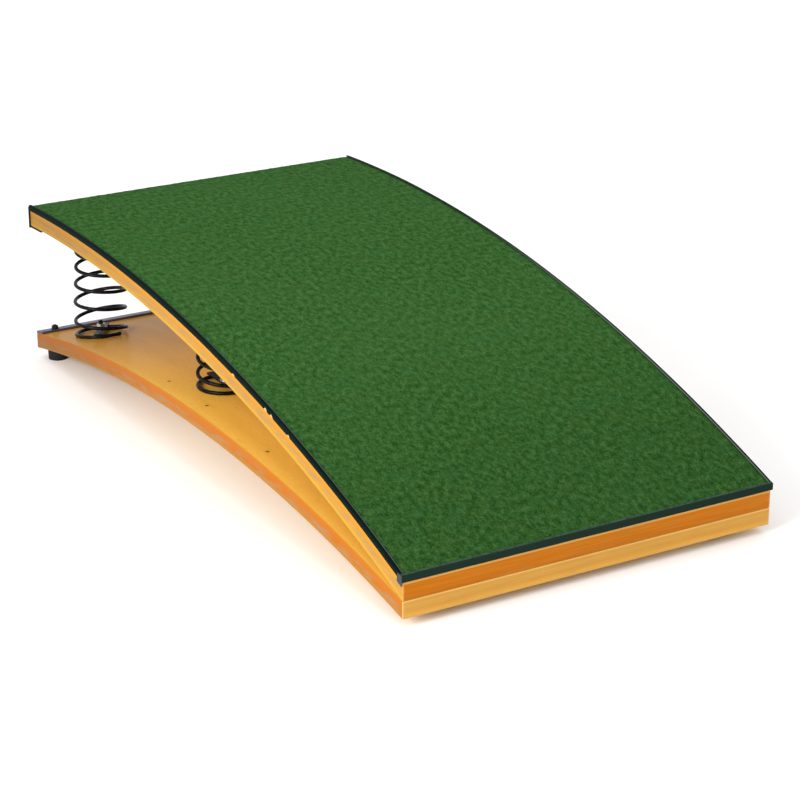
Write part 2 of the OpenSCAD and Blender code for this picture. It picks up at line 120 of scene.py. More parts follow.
def bent_slab(name, centre, inner, outer, low, high, spans=150):
    """A slab bent round the X axis, with all of its edges eased"""
    mesh = bmesh.new()
    corners = [(high.x - EDGE_ROUNDING, outer - EDGE_ROUNDING),
               (low.x + EDGE_ROUNDING, outer - EDGE_ROUNDING),
               (low.x + EDGE_ROUNDING, inner + EDGE_ROUNDING),
               (high.x - EDGE_ROUNDING, inner + EDGE_ROUNDING)]
    easing = [math.radians(a) for a in (12, 38, 64, 90)]
    stations = [(low.y + EDGE_ROUNDING * (1 - math.cos(a)), math.sin(a)) for a in easing]
    stations += [(low.y + EDGE_ROUNDING + (high.y - low.y - 2 * EDGE_ROUNDING) * i / spans, 1)
                 for i in range(1, spans)]
    stations += [(high.y - EDGE_ROUNDING * (1 - math.cos(a)), math.sin(a)) for a in easing[::-1]]
    rings = []
    for y, full in stations:
        ring = []
        for number, (x, radius) in enumerate(corners):
            for k in range(4):
                angle = math.radians(90 * number + 30 * k)
                r = radius + EDGE_ROUNDING * full * math.sin(angle)
                ring.append(mesh.verts.new((x + EDGE_ROUNDING * full * math.cos(angle), y,
                                            arch_height(centre, r, y))))
        rings.append(ring)
    skin_between(mesh, rings)
    return finished_mesh(name, mesh)


def cut_hinge_groove(board):
    """Takes the knuckles' groove out of a board, a little longer than the hinge pin"""
    low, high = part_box("hinge_pin")
    length = high.x - low.x + 2 * HINGE_GROOVE_OVERRUN
    place = (Matrix.Translation((low + high) / 2) @ Matrix.Rotation(math.pi / 2, 4, "Y"))
    mesh = bmesh.new()
    bmesh.ops.create_cone(mesh, cap_ends=True, segments=40, radius1=HINGE_GROOVE_RADIUS,
                          radius2=HINGE_GROOVE_RADIUS, depth=length, matrix=place)
    cutter = finished_mesh("groove_cutter", mesh)
    groove = board.modifiers.new("hinge groove", "BOOLEAN")
    groove.operation, groove.solver, groove.object = "DIFFERENCE", "EXACT", cutter
    shaped = board.evaluated_get(bpy.context.evaluated_depsgraph_get())
    data = bpy.data.meshes.new_from_object(shaped)
    board.modifiers.clear()
    board.data = data
    bpy.data.objects.remove(cutter)


def weigh_normals(piece):
    """Lets the broad faces set the shading at the eased edges"""
    normals = piece.modifiers.new("broad faces first", "WEIGHTED_NORMAL")
    normals.keep_sharp = True


def node(tree, kind, inputs=None, **settings):
    """A shader node with its settings, and its inputs from values or from other sockets"""
    made = tree.nodes.new(kind)
    for name, value in settings.items():
        setattr(made, name, value)
    for name, value in (inputs or {}).items():
        if isinstance(value, bpy.types.NodeSocket):
            tree.links.new(value, made.inputs[name])
        else:
            made.inputs[name].default_value = value
    return made


def maths(tree, operation, *values):
    return node(tree, "ShaderNodeMath", dict(enumerate(values)), operation=operation).outputs[0]


def rising(tree, value, start, end, low=0.0, high=1.0):
    """Goes smoothly from low to high as value goes from start to end"""
    made = node(tree, "ShaderNodeMapRange",
                {"Value": value, "From Min": start, "From Max": end, "To Min": low, "To Max": high},
                interpolation_type="SMOOTHSTEP")
    return made.outputs[0]


def tint(tree, factor, first, second, blend="MIX"):
    """Mixes two colours by a factor"""
    made = tree.nodes.new("ShaderNodeMix")
    made.data_type, made.blend_type = "RGBA", blend
    for socket, value in zip((made.inputs[0], made.inputs[6], made.inputs[7]),
                             (factor, first, second)):
        if isinstance(value, bpy.types.NodeSocket):
            tree.links.new(value, socket)
        else:
            socket.default_value = value if socket.type == "VALUE" else (*value[:3], 1)
    return made.outputs[2]


def shades(tree, factor, stops):
    """A colour ramp through (position, colour) stops"""
    made = node(tree, "ShaderNodeValToRGB", {"Fac": factor})
    ramp = made.color_ramp
    while len(ramp.elements) < len(stops):
        ramp.elements.new(1)
    for element, (position, colour) in zip(ramp.elements, stops):
        element.position, element.color = position, (*colour, 1)
    return made.outputs[0]


def shared_effect(name, inputs, outputs):
    """An empty node group with float inputs and outputs; returns it and its two ends"""
    group = bpy.data.node_groups.new(name, "ShaderNodeTree")
    for label, value in inputs.items():
        socket = group.interface.new_socket(label, in_out="INPUT", socket_type="NodeSocketFloat")
        socket.default_value = value
    for label in outputs:
        group.interface.new_socket(label, in_out="OUTPUT", socket_type="NodeSocketFloat")
    return group, group.nodes.new("NodeGroupInput"), group.nodes.new("NodeGroupOutput")


def give(group, made, **values):
    """Links values to the outputs of a shared effect"""
    for label, value in values.items():
        group.links.new(value, made.inputs[label])
    return group


def placed(tree, group, **values):
    """A shared effect with this material's own values"""
    made = tree.nodes.new("ShaderNodeGroup")
    made.node_tree = group
    for name, value in values.items():
        made.inputs[name.replace("_", " ")].default_value = value
    return made.outputs


def stretched(tree, x=1, y=1, z=1):
    """The piece's own coordinates in metres, times a number along each axis"""
    place = node(tree, "ShaderNodeTexCoord").outputs["Object"]
    return node(tree, "ShaderNodeMapping", {"Vector": place, "Scale": (x, y, z)}).outputs[0]


def axes_of(tree):
    """X, Y and Z of the piece's own coordinates, in metres"""
    return node(tree, "ShaderNodeSeparateXYZ", {0: stretched(tree)}).outputs


def mottle(tree, vector, scale, detail=2.0, roughness=0.5, distortion=0.0):
    made = node(tree, "ShaderNodeTexNoise",
                {"Vector": vector, "Scale": scale, "Detail": detail, "Roughness": roughness,
                 "Distortion": distortion})
    return made.outputs["Fac"]


def bent_plies_effect():
    """Depth across a bent board, a tone for each ply and a mask of the glue lines"""
    group, given, made = shared_effect(
        "bent plies", {"Centre Y": 0, "Centre Z": 0, "Inner Radius": 1, "Thickness": 1, "Plies": 9},
        ("Depth", "Tone", "Glue"))
    place = axes_of(group)
    across = maths(group, "SUBTRACT", place["Y"], given.outputs["Centre Y"])
    up = maths(group, "SUBTRACT", place["Z"], given.outputs["Centre Z"])
    radius = maths(group, "SQRT", maths(group, "ADD", maths(group, "MULTIPLY", across, across),
                                        maths(group, "MULTIPLY", up, up)))
    depth = maths(group, "DIVIDE", maths(group, "SUBTRACT", radius, given.outputs["Inner Radius"]),
                  given.outputs["Thickness"])
    waver = maths(group, "MULTIPLY_ADD", mottle(group, stretched(group, 3, 7, 3), 1, 2),
                  0.02, -0.01)
    ply = maths(group, "MULTIPLY", maths(group, "ADD", depth, waver), given.outputs["Plies"])
    tone = node(group, "ShaderNodeTexWhiteNoise", {"W": maths(group, "FLOOR", ply)},
                noise_dimensions="1D").outputs["Value"]
    edge = maths(group, "ABSOLUTE", maths(group, "SUBTRACT", maths(group, "FRACT", ply), 0.5))
    return give(group, made, Depth=depth, Tone=tone, Glue=rising(group, edge, 0.40, 0.47))


def veneer_grain_effect():
    """Long cathedral figure, fine fibre and short pores, all running along the board"""
    group, given, made = shared_effect("veneer grain", {"Figure": 7, "Fibre": 1},
                                       ("Figure", "Fibre", "Pores"))
    bands = node(group, "ShaderNodeTexWave",
                 {"Vector": stretched(group, 1, 0.11, 1), "Scale": given.outputs["Figure"],
                  "Distortion": 9.0, "Detail": 3.0, "Detail Scale": 1.0, "Detail Roughness": 0.6},
                 wave_type="BANDS", bands_direction="X", wave_profile="SIN").outputs["Fac"]
    drift = mottle(group, stretched(group, 17, 1.9, 17), 1, 4, 0.6, 0.6)
    figure = maths(group, "MULTIPLY_ADD", bands, 0.30,
                   maths(group, "MULTIPLY_ADD", drift, 1.3, -0.30))
    fibre = mottle(group, stretched(group, 520, 14, 520), given.outputs["Fibre"], 3, 0.6)
    pores = rising(group, mottle(group, stretched(group, 900, 60, 900), 1, 1), 0.62, 0.72)
    return give(group, made, Figure=figure, Fibre=fibre, Pores=pores)


def use_marks_effect():
    """Scuffs in short strokes and a soft, cloudy soiling"""
    group, given, made = shared_effect("use marks", {"Scuff Scale": 40, "Soil Scale": 6},
                                       ("Scuffs", "Soil"))
    strokes = mottle(group, stretched(group, 1, 0.25, 1), given.outputs["Scuff Scale"], 5, 0.7, 1.2)
    soil = mottle(group, stretched(group), given.outputs["Soil Scale"], 4, 0.6)
    return give(group, made, Scuffs=rising(group, strokes, 0.60, 0.72),
                Soil=rising(group, soil, 0.42, 0.75))


BENT_PLIES = bent_plies_effect()
VENEER_GRAIN = veneer_grain_effect()
USE_MARKS = use_marks_effect()


def finish_of(name, roughness, metallic=0.0, specular=0.5):
    """A new material's node tree and its Principled shader"""
    material = bpy.data.materials.new(name)
    material.use_nodes = True
    shader = material.node_tree.nodes["Principled BSDF"]
    for label, value in (("Roughness", roughness), ("Metallic", metallic),
                         ("Specular IOR Level", specular)):
        shader.inputs[label].default_value = value
    return material, material.node_tree, shader


def relief(tree, shader, *layers):
    """Bumps of (height, depth in metres), one through the other, into the shader's normal"""
    normal = None
    for height, depth in layers:
        bump = node(tree, "ShaderNodeBump", {"Height": height, "Distance": depth, "Strength": 1.0})
        if normal is not None:
            tree.links.new(normal, bump.inputs["Normal"])
        normal = bump.outputs[0]
    tree.links.new(normal, shader.inputs["Normal"])


def varnished_plywood(name, centre, inner, thickness, plies, box, face, side, front, end_shade,
                      corner, knots=(), bared=()):
    """Clear-varnished bent plywood: veneer on the faces, plies in the sides, stained ends"""
    material, tree, shader = finish_of(name, 0.42, specular=0.03)
    layers = placed(tree, BENT_PLIES, Centre_Y=centre[0], Centre_Z=centre[1],
                    Inner_Radius=inner, Thickness=thickness, Plies=plies)
    grain = placed(tree, VENEER_GRAIN)
    marks = placed(tree, USE_MARKS)
    low, high = box
    place = axes_of(tree)
    at_side = rising(tree, maths(tree, "ABSOLUTE", place["X"]), high.x - EDGE_BEGINS,
                     high.x - EDGE_FULL)
    at_front = rising(tree, place["Y"], low.y + EDGE_FULL, low.y + EDGE_BEGINS, 1, 0)
    at_rear = rising(tree, place["Y"], high.y - EDGE_BEGINS, high.y - EDGE_FULL)

    # Painted light: the faces are painted darkest under the rear of the deck and paler toward the
    # front, for light reaching in under the deck's front
    veneer = tint(tree, rising(tree, place["Y"], 0.05, 0.55, 1, 0), shades(
        tree, grain["Figure"], face[0]), shades(tree, grain["Figure"], face[1]))
    veneer = tint(tree, maths(tree, "MULTIPLY", grain["Fibre"], 0.22), veneer, end_shade)
    veneer = tint(tree, maths(tree, "MULTIPLY", grain["Pores"], 0.25), veneer, PORE_BROWN)
    blotches = rising(tree, mottle(tree, stretched(tree, 30, 22, 120), 1, 3), 0.35, 0.65)
    plies_shown = shades(tree, layers["Depth"], side)
    plies_shown = tint(tree, maths(tree, "MULTIPLY", layers["Tone"], 0.20), plies_shown, end_shade)
    # Grey-brown marks of the press lie in the lower middle plies
    pressed = maths(tree, "MULTIPLY", rising(tree, layers["Depth"], 0.12, 0.32),
                    rising(tree, layers["Depth"], 0.50, 0.66, 1, 0))
    plies_shown = tint(tree, maths(tree, "MULTIPLY", blotches,
                                   maths(tree, "MULTIPLY_ADD", pressed, 0.56, 0.10)),
                       plies_shown, PRESS_BROWN)
    plies_shown = tint(tree, 1.0, plies_shown, rising(tree, place["Y"], 0.0, 0.6, 1, 0.64),
                       "MULTIPLY")
    ends = shades(tree, layers["Depth"], front)
    ends = tint(tree, maths(tree, "MULTIPLY", layers["Tone"], 0.12), ends, end_shade)
    streaks = rising(tree, mottle(tree, stretched(tree, 9, 420, 420), 1, 4, 0.6), 0.42, 0.62)
    ends = tint(tree, maths(tree, "MULTIPLY", streaks, 0.16), ends, corner)
    ends = tint(tree, maths(tree, "MULTIPLY", blotches, 0.08), ends, BLOTCH_BROWN)
    edges = tint(tree, maths(tree, "MAXIMUM", at_front, at_rear), plies_shown, ends)
    worn = rising(tree, maths(tree, "ABSOLUTE", place["X"]), high.x - 0.0032, high.x - 0.0016)
    edges = tint(tree, maths(tree, "MULTIPLY", maths(tree, "MULTIPLY", worn, at_front), 0.8),
                 edges, corner)
    edges = tint(tree, maths(tree, "MULTIPLY", layers["Glue"], 0.22), edges, GLUE_BROWN)
    at_edge = maths(tree, "MAXIMUM", at_side, maths(tree, "MAXIMUM", at_front, at_rear))
    for middle, half, _ in bared:
        apart = maths(tree, "ABSOLUTE", maths(tree, "SUBTRACT", place["Y"], middle))
        bare = maths(tree, "MULTIPLY", rising(tree, apart, 0.9 * half, 1.3 * half, 0.9, 0),
                     rising(tree, layers["Depth"], 0.83, 0.87))
        edges = tint(tree, bare, edges, BARED_WOOD)
    for x, y in knots:
        apart = node(tree, "ShaderNodeVectorMath", {0: stretched(tree, 1, 1, 0), 1: (x, y, 0)},
                     operation="DISTANCE").outputs["Value"]
        veneer = tint(tree, rising(tree, apart, KNOT_CORE, KNOT_RIM, 0.85, 0), veneer, KNOT_BROWN)
    colour = tint(tree, at_edge, veneer, edges)
    colour = tint(tree, maths(tree, "MULTIPLY", marks["Soil"], 0.10), colour, SOIL_BROWN)
    tree.links.new(colour, shader.inputs["Base Color"])
    tree.links.new(maths(tree, "MULTIPLY_ADD", marks["Scuffs"], 0.20, 0.30),
                   shader.inputs["Roughness"])
    relief(tree, shader, (grain["Fibre"], 0.00006), (maths(tree, "MULTIPLY", layers["Glue"],
                                                           at_edge), -0.00012))
    return material


base_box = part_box("base_board")
base_centre = arch_centre(*base_box, BEND_RADIUS - BASE_THICKNESS, BEND_RADIUS)
base_board = bent_slab("base_board_plywood", base_centre, BEND_RADIUS - BASE_THICKNESS, BEND_RADIUS,
                       *base_box)
cut_hinge_groove(base_board)
weigh_normals(base_board)
base_board.data.materials.append(varnished_plywood(
    "base board plywood", base_centre, BEND_RADIUS - BASE_THICKNESS, BASE_THICKNESS, BASE_PLIES,
    base_box,
    # face: rear and front ramps; the paler front one is painted light reaching in under the deck
    face=([(0.0, (0.41, 0.195, 0.020)), (0.5, (0.46, 0.22, 0.025)), (1.0, (0.51, 0.25, 0.032))],
          [(0.0, (0.80, 0.44, 0.064)), (0.5, (0.84, 0.48, 0.074)), (1.0, (0.88, 0.52, 0.088))]),
    side=[(0.0, (0.40, 0.19, 0.034)), (0.15, (0.36, 0.150, 0.020)), (0.30, (0.36, 0.118, 0.008)),
          (0.45, (0.40, 0.112, 0.004)), (0.75, (0.43, 0.112, 0.003)), (0.92, (0.42, 0.112, 0.003)),
          (1.0, (0.47, 0.20, 0.014))],
    front=[(0.0, (0.66, 0.36, 0.075)), (0.22, (0.65, 0.34, 0.064)), (0.36, (0.61, 0.30, 0.050)),
           (0.45, (0.55, 0.275, 0.048)), (0.60, (0.56, 0.29, 0.055)), (0.70, (0.60, 0.33, 0.068)),
           (0.82, (0.54, 0.285, 0.052)), (0.90, (0.60, 0.31, 0.055)), (0.97, (0.72, 0.44, 0.14))],
    end_shade=(0.40, 0.16, 0.020), corner=(0.62, 0.38, 0.14), knots=PIN_KNOTS))
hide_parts("base_board")
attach(base_board, "base")


# --- Rear bar and its bolts ---------------------------------------------------------------
# A flat steel bar, painted dark grey, holds the base board's rear edge in shape. Three
# mushroom-headed bolts come up through feet, board and bar into black nuts on washers.
BAR_BOLT = 0.006
# Shares of a bolt's diameter
THREAD_PITCH, THREAD_DEPTH = 0.158, 0.07
NUT_WIDTH, NUT_HEIGHT = 1.6, 0.8
HEAD_WIDTH, HEAD_HEIGHT = 2.1, 0.55
WASHER_WIDTH = 2.1
WASHER_THICKNESS = 0.0016
SEAT_GAP = 0.0001
BAR_THICKNESS = 0.004
BAR_BOLT_SETBACK = 0.018
BAR_BOLT_END = 0.008
FOOT_INSET = 0.028
FOOT_WEB = 0.007
THREAD_FADE_STEPS, THREAD_RUNOUT, TIP_CHAMFER = 8, 0.0009, 0.0006
NUT_COUNTERSINK, NUT_PLAY, WASHER_PLAY = 0.0006, 0.00005, 0.00015
TURNED_STEPS, RING_STEPS = 32, 48


def arch_slope(centre, y):
    return math.asin((y - centre[0]) / BEND_RADIUS)


def on_base(x, y):
    """Standing on top of the base board, Z along its normal"""
    return (Matrix.Translation((x, y, arch_height(base_centre, BEND_RADIUS, y)))
            @ Matrix.Rotation(-arch_slope(base_centre, y), 4, "X"))


def turned(mesh, place, outline, pitch=1.0):
    """Adds a turned solid from (radius, height, thread depth) points, bottom to top"""
    rings = []
    for radius, height, depth in outline:
        ring = []
        for k in range(TURNED_STEPS):
            turn = k / TURNED_STEPS
            groove = abs(2 * ((height / pitch - turn) % 1.0) - 1)
            r = radius - depth * groove
            ring.append(mesh.verts.new(place @ Vector((r * math.cos(math.tau * turn),
                                                       r * math.sin(math.tau * turn), height))))
        rings.append(ring)
    skin_between(mesh, rings)


def threaded_end(bolt, start, top):
    """Outline of a rolled thread that fades in at start and ends in a chamfered tip"""
    radius, depth, step = bolt / 2, THREAD_DEPTH * bolt, THREAD_PITCH * bolt / 6
    count = int((top - THREAD_RUNOUT - start) / step)
    points = [(radius, start, 0.0)]
    points += [(radius, start + step * i, depth * min(1, i / THREAD_FADE_STEPS))
               for i in range(1, count)]
    return points + [(0.92 * radius, top - TIP_CHAMFER, 0.3 * depth), (0.74 * radius, top, 0.0)]


def mushroom_bolt(mesh, place, bolt, face, top, thread_from):
    """Round head under the level face, smooth shank, and thread up to the top"""
    crown = [math.radians(a) for a in (12, 30, 50, 70, 86)]
    head = [(HEAD_WIDTH * bolt / 2 * math.sin(a), face - HEAD_HEIGHT * bolt * math.cos(a), 0.0)
            for a in crown]
    turned(mesh, place, head + [(HEAD_WIDTH * bolt / 2, face, 0.0), (bolt / 2, face + 0.0002, 0.0)]
           + threaded_end(bolt, thread_from, top), THREAD_PITCH * bolt)


def around(mesh, place, loops):
    """Closes loops of (radius, height) points, one for each angle, into a ring"""
    count = len(loops)
    rings = []
    for k, loop in enumerate(loops):
        angle = math.tau * k / count
        rings.append([mesh.verts.new(place @ Vector((r * math.cos(angle), r * math.sin(angle), h)))
                      for r, h in loop])
    for k in range(count):
        here, there = rings[k], rings[(k + 1) % count]
        for i in range(len(here)):
            j = (i + 1) % len(here)
            mesh.faces.new((here[i], there[i], there[j], here[j]))


def hex_nut(mesh, place, bolt):
    """A hexagon nut, its corners chamfered at both faces and its bore countersunk"""
    half, bore, height = NUT_WIDTH * bolt / 2, bolt / 2 + NUT_PLAY, NUT_HEIGHT * bolt
    loops = []
    for k in range(RING_STEPS):
        off_flat = (math.tau * k / RING_STEPS + math.pi / 6) % (math.pi / 3) - math.pi / 6
        corner = half / math.cos(off_flat)
        drop = (corner - 0.97 * half) * math.tan(math.radians(30))
        loops.append([(bore, NUT_COUNTERSINK), (bore + NUT_COUNTERSINK, 0), (0.97 * half, 0),
                      (corner, drop), (corner, height - drop), (0.97 * half, height),
                      (bore + NUT_COUNTERSINK, height), (bore, height - NUT_COUNTERSINK)])
    around(mesh, place, loops)


def round_washer(mesh, place, bolt):
    """A punched washer: rounded where the punch went in, sharper where it came out"""
    outer, bore, t = WASHER_WIDTH * bolt / 2, bolt / 2 + WASHER_PLAY, WASHER_THICKNESS
    loop = [(bore, 0.0002), (bore + 0.0002, 0), (outer - 0.0002, 0), (outer, 0.0002),
            (outer, t - 0.0005), (outer - 0.00015, t - 0.00015), (outer - 0.0005, t),
            (bore + 0.0004, t), (bore, t - 0.0004)]
    around(mesh, place, [loop] * RING_STEPS)


def soften(name, width, material):
    """Eases the edges of a carried-over node and gives it its finish"""
    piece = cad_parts[name]
    weld = piece.modifiers.new("joined faces", "WELD")
    weld.merge_threshold = 0.00001
    bevel = piece.modifiers.new("eased edges", "BEVEL")
    bevel.width, bevel.segments = width, 2
    bevel.limit_method, bevel.angle_limit = "ANGLE", math.radians(32)
    weigh_normals(piece)
    piece.data.materials.clear()
    piece.data.materials.append(material)


def painted_steel(name, colour, worn, roughness, wear):
    """Paint or black oxide over steel, rubbed through to worn in scuffs"""
    material, tree, shader = finish_of(name, roughness, specular=0.15)
    marks = placed(tree, USE_MARKS, Scuff_Scale=90, Soil_Scale=30)
    peel = mottle(tree, stretched(tree), 700, 2)
    shade = tint(tree, maths(tree, "MULTIPLY", marks["Soil"], 0.5), colour,
                 tuple(min(1, 1.6 * c + 0.004) for c in colour))
    tree.links.new(tint(tree, maths(tree, "MULTIPLY", marks["Scuffs"], wear), shade, worn),
                   shader.inputs["Base Color"])
    tree.links.new(maths(tree, "MULTIPLY_ADD", marks["Scuffs"], -0.15, roughness),
                   shader.inputs["Roughness"])
    tree.links.new(maths(tree, "MULTIPLY", marks["Scuffs"], wear), shader.inputs["Metallic"])
    relief(tree, shader, (peel, 0.00008))
    return material


def zinc_plate(name):
    """Bright zinc: clear metal with a cloudy, slightly yellow bloom"""
    material, tree, shader = finish_of(name, 0.28, metallic=1.0)
    cloud = mottle(tree, stretched(tree), 260, 4, 0.6)
    tree.links.new(shades(tree, cloud, [(0.35, (0.38, 0.37, 0.34)), (0.65, (0.58, 0.57, 0.54))]),
                   shader.inputs["Base Color"])
    tree.links.new(rising(tree, cloud, 0.3, 0.7, 0.22, 0.42), shader.inputs["Roughness"])
    relief(tree, shader, (cloud, 0.00005))
    return material


BLACK_STEEL = painted_steel("black oxide steel", (0.004, 0.004, 0.005), (0.14, 0.13, 0.12),
                            roughness=0.42, wear=0.15)
ZINC_STEEL = zinc_plate("bright zinc")
BAR_STEEL = painted_steel("dark grey bar paint", (0.052, 0.046, 0.068), (0.26, 0.25, 0.27),
                          roughness=0.38, wear=0.30)

bar_bolt_y = base_box[1].y - BAR_BOLT_SETBACK
bar_bolt_x = [cad_low.x + FOOT_INSET, 0.0, cad_high.x - FOOT_INSET]
bolts, nuts, washers = bmesh.new(), bmesh.new(), bmesh.new()
for x in bar_bolt_x:
    place = on_base(x, bar_bolt_y)
    grip = BASE_THICKNESS + (FOOT_WEB if x else SEAT_GAP)
    mushroom_bolt(bolts, place, BAR_BOLT, -grip, BAR_THICKNESS + BAR_BOLT_END, BAR_THICKNESS)
    round_washer(washers, place @ Matrix.Translation((0, 0, BAR_THICKNESS + SEAT_GAP)), BAR_BOLT)
    hex_nut(nuts, place @ Matrix.Translation(
        (0, 0, BAR_THICKNESS + WASHER_THICKNESS + 2 * SEAT_GAP)), BAR_BOLT)
for name, mesh in (("rear_bar_bolts", bolts), ("rear_bar_nuts", nuts),
                   ("rear_bar_washers", washers)):
    piece = finished_mesh(name + "_turned", mesh, 32)
    piece.data.materials.append(BLACK_STEEL)
    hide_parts(name)
    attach(piece, "base")
soften("rear_bar", 0.0006, BAR_STEEL)


# --- Feet -----------------------------------------------------------------------------
# Four round feet of moulded black rubber. The rear pair hang on the bar's outer bolts and
# the front pair on screws; a well in each sole keeps the head off the floor.
def moulded_rubber(name):
    """Matt black rubber, greyed by dust where it is rough"""
    material, tree, shader = finish_of(name, 0.72, specular=0.15)
    marks = placed(tree, USE_MARKS, Scuff_Scale=120, Soil_Scale=25)
    skin = mottle(tree, stretched(tree), 1400, 3, 0.6)
    colour = shades(tree, skin, [(0.3, (0.005, 0.005, 0.006)), (0.7, (0.012, 0.012, 0.013))])
    colour = tint(tree, maths(tree, "MULTIPLY", marks["Soil"], 0.25), colour, (0.05, 0.048, 0.045))
    tree.links.new(colour, shader.inputs["Base Color"])
    tree.links.new(rising(tree, skin, 0.3, 0.7, 0.62, 0.82), shader.inputs["Roughness"])
    relief(tree, shader, (skin, 0.00015))
    return material


RUBBER = moulded_rubber("moulded rubber")
for name in ("rear_foot_left", "rear_foot_right", "front_foot_left", "front_foot_right"):
    soften(name, 0.0012, RUBBER)
soften("front_foot_screws", 0.0003, ZINC_STEEL)


# --- Hinge ----------------------------------------------------------------------------
# A piano hinge just behind the front edge joins the boards. Its rolled leaves are screwed
# to the facing sides of the boards and turn on one loose pin.
for name in ("hinge_leaf_lower", "hinge_leaf_upper", "hinge_pin", "hinge_screws_lower",
             "hinge_screws_upper"):
    soften(name, 0.0002, ZINC_STEEL)


# --- Springs --------------------------------------------------------------------------
# Five coil springs of black enamelled wire, wound left-handed, three in the rear row and
# two in the front row. The end turns lie flat on the boards and take the clamp straps.
DECK_THICKNESS = 0.029
WIRE_DIAMETER = 0.006
SPRING_DIAMETER = 0.088
REAR_SPRING_INSET, FRONT_SPRING_INSET = 0.070, 0.089
REAR_ROW_SETBACK = 0.114
ROW_SPACING = 0.411
SPRING_LEAN = 0.08
REAR_TURNS, FRONT_TURNS = 7, 5.5
REAR_BIAS = 0.18
REAR_STRAP_TURN, FRONT_STRAP_TURN = 30, 0
FLAT_TURNS, WIRE_START, RISE_BLEND = 0.83, 0.10, 0.05
LOWER_SEAT, UPPER_SEAT = 0.0003, 0.0008
WIRE_SIDES, STEPS_PER_TURN = 14, 40
# The cut ends of the wire are rounded: their share of its radius, and how far they stand out
WIRE_END_SHARE, WIRE_END_LENGTH = 0.86, 0.0004

deck_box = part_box("deck_board")
deck_centre = arch_centre(*deck_box, BEND_RADIUS, BEND_RADIUS + DECK_THICKNESS)


def spring_top(y):
    """Where the axis of a spring that stands on the base at y meets the deck"""
    lower, upper = (arch_height(c, BEND_RADIUS, y) for c in (base_centre, deck_centre))
    return y - SPRING_LEAN * (upper - lower)


def under_deck(x, y):
    """Hanging under the deck board, Z down along its normal"""
    return (Matrix.Translation((x, y, arch_height(deck_centre, BEND_RADIUS, y)))
            @ Matrix.Rotation(math.pi - arch_slope(deck_centre, y), 4, "X"))


def eased_ramp(t, width):
    """0 below zero and t above it, with a parabola between"""
    return 0 if t < -width else t if t > width else (t + width) ** 2 / (4 * width)


def coil_spring(name, x, y, turns, bias, strap_turn):
    """Wire swept along the coil, its axis square to both boards; returns piece and weights"""
    foot = Vector((y, arch_height(base_centre, BEND_RADIUS, y)))
    top_y = spring_top(y)
    head = Vector((top_y, arch_height(deck_centre, BEND_RADIUS, top_y)))
    height = (head - foot).length
    lean_a, lean_b = arch_slope(base_centre, y), arch_slope(deck_centre, top_y)
    aim_a = foot + height / 3 * Vector((math.sin(lean_a), math.cos(lean_a)))
    aim_b = head - height / 3 * Vector((math.sin(lean_b), math.cos(lean_b)))
    mean, wire = (SPRING_DIAMETER - WIRE_DIAMETER) / 2, WIRE_DIAMETER / 2
    count = round((turns - 2 * WIRE_START) * STEPS_PER_TURN)
    stations = [(0, WIRE_END_SHARE)] + [(i, 1) for i in range(count + 1)]
    stations.append((count, WIRE_END_SHARE))
    mesh, rings, lifts = bmesh.new(), [], []
    for number, (i, swell) in enumerate(stations):
        t = WIRE_START + i * (turns - 2 * WIRE_START) / count
        risen = (eased_ramp(t - FLAT_TURNS, RISE_BLEND)
                 - eased_ramp(t - turns + FLAT_TURNS, RISE_BLEND)) / (turns - 2 * FLAT_TURNS)
        risen += bias * risen * (1 - risen)
        z = LOWER_SEAT + wire + (height - LOWER_SEAT - UPPER_SEAT - 2 * wire) * risen
        u = z / height
        lean = lean_a + (lean_b - lean_a) * u
        centre = ((1 - u) ** 3 * foot + 3 * (1 - u) ** 2 * u * aim_a
                  + 3 * (1 - u) * u ** 2 * aim_b + u ** 3 * head)
        at_end = (number == len(stations) - 1) - (number == 0)
        angle = math.radians(-360 * t - strap_turn) - WIRE_END_LENGTH * at_end / mean
        ring = []
        for k in range(WIRE_SIDES):
            g = math.tau * (k + 0.5) / WIRE_SIDES
            d, e = mean + swell * wire * math.cos(g), swell * wire * math.sin(g)
            ring.append(mesh.verts.new((
                x + d * math.cos(angle),
                centre[0] + d * math.sin(angle) * math.cos(lean) + e * math.sin(lean),
                centre[1] - d * math.sin(angle) * math.sin(lean) + e * math.cos(lean))))
        rings.append(ring)
        lifts += [risen] * WIRE_SIDES
    skin_between(mesh, rings)
    ends = [Vector((x, p[0], p[1])) for p in (foot, head)]
    return finished_mesh(name, mesh, 50), lifts, ends


def enamelled_wire(name):
    """Glossy black enamel on spring wire, drawn lines showing faintly through it"""
    material, tree, shader = finish_of(name, 0.30, specular=0.12)
    marks = placed(tree, USE_MARKS, Scuff_Scale=150, Soil_Scale=40)
    runs = mottle(tree, stretched(tree), 320, 3)
    colour = shades(tree, runs, [(0.3, (0.0015, 0.0015, 0.002)), (0.75, (0.005, 0.005, 0.006))])
    tree.links.new(tint(tree, maths(tree, "MULTIPLY", marks["Scuffs"], 0.06), colour,
                        (0.09, 0.085, 0.08)), shader.inputs["Base Color"])
    tree.links.new(rising(tree, runs, 0.3, 0.7, 0.24, 0.42), shader.inputs["Roughness"])
    relief(tree, shader, (runs, 0.00012))
    return material


